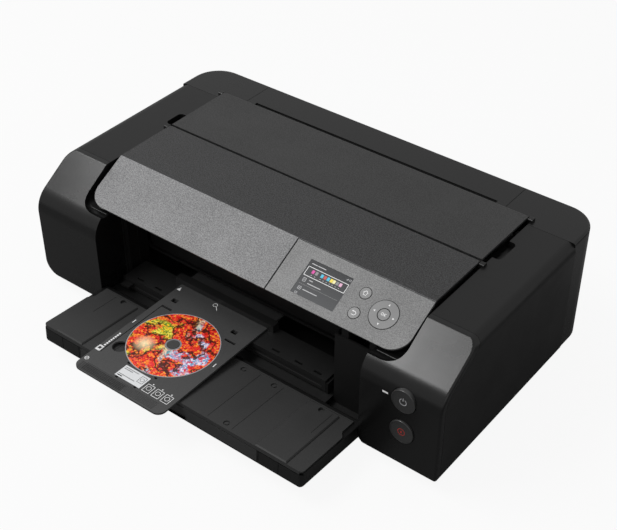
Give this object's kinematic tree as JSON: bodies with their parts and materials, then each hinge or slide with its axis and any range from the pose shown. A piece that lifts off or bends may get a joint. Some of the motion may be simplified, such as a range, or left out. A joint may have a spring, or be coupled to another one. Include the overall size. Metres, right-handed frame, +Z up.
{
  "type": "inkjet photo printer",
  "caption": "Wide tabletop inkjet photo printer with hinged covers, side towers, control panel with screen, output tray and a disc-printing tray slid in at the front.",
  "frame": {"origin": "on the floor below the middle of everything that stands on it, output and disc trays included", "axes": "+X to the right of someone facing the front, -Y towards the front where the trays come out, +Z up"},
  "size_m": [0.6436, 0.5016, 0.188],
  "materials": {
    "shell_black": "gloss",
    "textured_black": "fine textured",
    "inner_black": "matt",
    "silver_grey": "sparkling satin",
    "tray_grey": "satin",
    "disc_tray_grey": "satin",
    "key_grey": "satin",
    "display": "clear over display",
    "disc_face": "printed",
    "lens": "clear",
    "board": "lacquered",
    "steel": "bare",
    "roller_rubber": "matt",
    "mech_grey": "satin",
    "gear_white": "satin",
    "ink_shell": "gloss",
    "felt": "matt"
  },
  "bodies": {
    "case": {"front_fascia_right": "shell_black", "front_fascia_left": "shell_black", "side_cover_right": "shell_black", "side_cover_left": "shell_black", "rear_cover": "shell_black", "hinge_pins": "steel", "base_tray": "inner_black", "rubber_feet": "roller_rubber", "case_screws": "steel", "operation_panel": "silver_grey", "panel_housing": "inner_black", "screen": "display", "status_lens": "lens", "button_board": "board", "output_surround": "inner_black", "slot_cover": "inner_black", "pinch_holder": "inner_black", "platen": "inner_black", "side_frames": "steel", "rear_plate": "steel", "carriage_rail": "steel", "carriage_belt": "roller_rubber", "motors": "steel", "service_station": "mech_grey", "power_supply": "inner_black", "main_board": "board", "rear_tray_floor": "mech_grey"},
    "cover": {"top_cover": "textured_black", "cover_inner_frame": "inner_black"},
    "flap": {"rear_tray_cover": "textured_black", "flap_liner": "inner_black"},
    "support": {"paper_support": "mech_grey"},
    "feed_panel": {"rear_feed_panel": "textured_black"},
    "home_key": {"home_button": "key_grey"},
    "back_key": {"back_button": "key_grey"},
    "ok_key": {"ok_button": "key_grey"},
    "direction_key": {"direction_pad": "key_grey"},
    "power_key": {"power_button": "key_grey"},
    "stop_key": {"stop_button": "key_grey"},
    "stars": {"star_wheels": "steel"},
    "out_roller": {"output_roller": "roller_rubber"},
    "feeder": {"feed_roller": "steel"},
    "idler": {"idler_gear": "gear_white"},
    "pinion": {"feed_pinion": "gear_white"},
    "pinch": {"pinch_rollers": "mech_grey"},
    "print_carriage": {"carriage": "mech_grey", "print_head": "ink_shell", "ink_tanks": "ink_shell"},
    "belt_idler": {"idler_pulley": "gear_white"},
    "belt_driver": {"motor_pulley": "gear_white"},
    "cap": {"service_cap": "felt"},
    "guide_right": {"paper_guide_right": "mech_grey"},
    "guide_left": {"paper_guide_left": "mech_grey"},
    "pickup": {"pickup_roller": "roller_rubber"},
    "out_tray": {"output_tray_shell": "tray_grey", "output_tray_plate": "tray_grey"},
    "extension": {"output_tray_extension": "tray_grey"},
    "shelf": {"disc_guide": "tray_grey"},
    "disc_carrier": {"disc_tray": "disc_tray_grey", "disc": "disc_face"}
  },
  "joints": [
    {"name": "cover_hinge", "type": "hinge", "parent": "case", "child": "cover", "pos_m": [0, 0.07555, 0.1854], "axis": [-1, 0, 0], "range_deg": [0, 70]},
    {"name": "flap_hinge", "type": "hinge", "parent": "case", "child": "flap", "pos_m": [0, 0.18995, 0.1854], "axis": [-1, 0, 0], "range_deg": [0, 108]},
    {"name": "support_slide", "type": "slide", "parent": "flap", "child": "support", "axis": [0, -1, 0], "range_m": [0, 0.075]},
    {"name": "feed_panel_hinge", "type": "hinge", "parent": "case", "child": "feed_panel", "pos_m": [0, 0.24815, 0.1291], "axis": [-1, 0, 0], "range_deg": [0, 75]},
    {"name": "home_press", "type": "slide", "parent": "case", "child": "home_key", "axis": [0, 0.471, -0.8821], "range_m": [0, 0.0008], "stiffness_N_per_m": 600},
    {"name": "back_press", "type": "slide", "parent": "case", "child": "back_key", "axis": [0, 0.471, -0.8821], "range_m": [0, 0.0008], "stiffness_N_per_m": 600},
    {"name": "ok_press", "type": "slide", "parent": "case", "child": "ok_key", "axis": [0, 0.471, -0.8821], "range_m": [0, 0.0008], "stiffness_N_per_m": 600},
    {"name": "direction_press", "type": "slide", "parent": "case", "child": "direction_key", "axis": [0, 0.471, -0.8821], "range_m": [0, 0.0008], "stiffness_N_per_m": 600},
    {"name": "power_press", "type": "slide", "parent": "case", "child": "power_key", "axis": [0, 1, 0], "range_m": [0, 0.001], "stiffness_N_per_m": 800},
    {"name": "stop_press", "type": "slide", "parent": "case", "child": "stop_key", "axis": [0, 1, 0], "range_m": [0, 0.001], "stiffness_N_per_m": 800},
    {"name": "feed_roller_turn", "type": "hinge", "parent": "case", "child": "feeder", "pos_m": [0, 0.05575, 0.043], "axis": [1, 0, 0], "continuous": true},
    {"name": "out_roller_turn", "type": "hinge", "parent": "case", "child": "out_roller", "pos_m": [0, -0.00625, 0.045], "axis": [1, 0, 0], "continuous": true},
    {"name": "idler_gear_turn", "type": "hinge", "parent": "case", "child": "idler", "pos_m": [0, 0.02475, 0.044], "axis": [1, 0, 0], "continuous": true},
    {"name": "pinion_turn", "type": "hinge", "parent": "case", "child": "pinion", "pos_m": [0, 0.08005, 0.043], "axis": [1, 0, 0], "continuous": true},
    {"name": "pinch_turn", "type": "hinge", "parent": "case", "child": "pinch", "pos_m": [0, 0.05575, 0.0564], "axis": [1, 0, 0], "continuous": true},
    {"name": "star_turn", "type": "hinge", "parent": "case", "child": "stars", "pos_m": [0, -0.00625, 0.0569], "axis": [1, 0, 0], "continuous": true},
    {"name": "carriage_slide", "type": "slide", "parent": "case", "child": "print_carriage", "axis": [-1, 0, 0], "range_m": [0, 0.44]},
    {"name": "belt_driver_turn", "type": "hinge", "parent": "case", "child": "belt_driver", "pos_m": [0.285, 0.06925, 0.124], "axis": [0, 1, 0], "range_deg": [0, 3200]},
    {"name": "belt_idler_turn", "type": "hinge", "parent": "case", "child": "belt_idler", "pos_m": [-0.285, 0.06925, 0.124], "axis": [0, 1, 0], "range_deg": [0, 3200]},
    {"name": "cap_lift", "type": "slide", "parent": "case", "child": "cap", "axis": [0, 0, 1], "range_m": [0, 0.0022]},
    {"name": "guide_right_slide", "type": "slide", "parent": "case", "child": "guide_right", "axis": [-1, 0, 0], "range_m": [0, 0.09]},
    {"name": "guide_left_slide", "type": "slide", "parent": "case", "child": "guide_left", "axis": [1, 0, 0], "range_m": [0, 0.09]},
    {"name": "pickup_turn", "type": "hinge", "parent": "case", "child": "pickup", "pos_m": [0, 0.09921, 0.10378], "axis": [1, 0, 0], "continuous": true},
    {"name": "output_tray_hinge", "type": "hinge", "parent": "case", "child": "out_tray", "pos_m": [0, -0.10425, 0.032], "axis": [1, 0, 0], "range_deg": [0, 1.5]},
    {"name": "extension_slide", "type": "slide", "parent": "out_tray", "child": "extension", "axis": [0, -0.9978, 0.0663], "range_m": [0, 0.06]},
    {"name": "disc_guide_slide", "type": "slide", "parent": "case", "child": "shelf", "axis": [0, 1, 0], "range_m": [0, 0.024]},
    {"name": "disc_tray_slide", "type": "slide", "parent": "case", "child": "disc_carrier", "axis": [0, 1, 0], "range_m": [-0.26, 0.12]}
  ],
  "couplings": [
    {"joint": "out_roller_turn", "follows": "feed_roller_turn", "ratio": 1},
    {"joint": "idler_gear_turn", "follows": "feed_roller_turn", "ratio": -1.4286},
    {"joint": "pinion_turn", "follows": "feed_roller_turn", "ratio": -3},
    {"joint": "pinch_turn", "follows": "feed_roller_turn", "ratio": -1.5},
    {"joint": "star_turn", "follows": "feed_roller_turn", "ratio": -0.88889},
    {"joint": "belt_driver_turn", "follows": "carriage_slide", "rad_per_m": 126.58},
    {"joint": "belt_idler_turn", "follows": "carriage_slide", "rad_per_m": 126.58},
    {"joint": "guide_left_slide", "follows": "guide_right_slide", "ratio": 1}
  ]
}
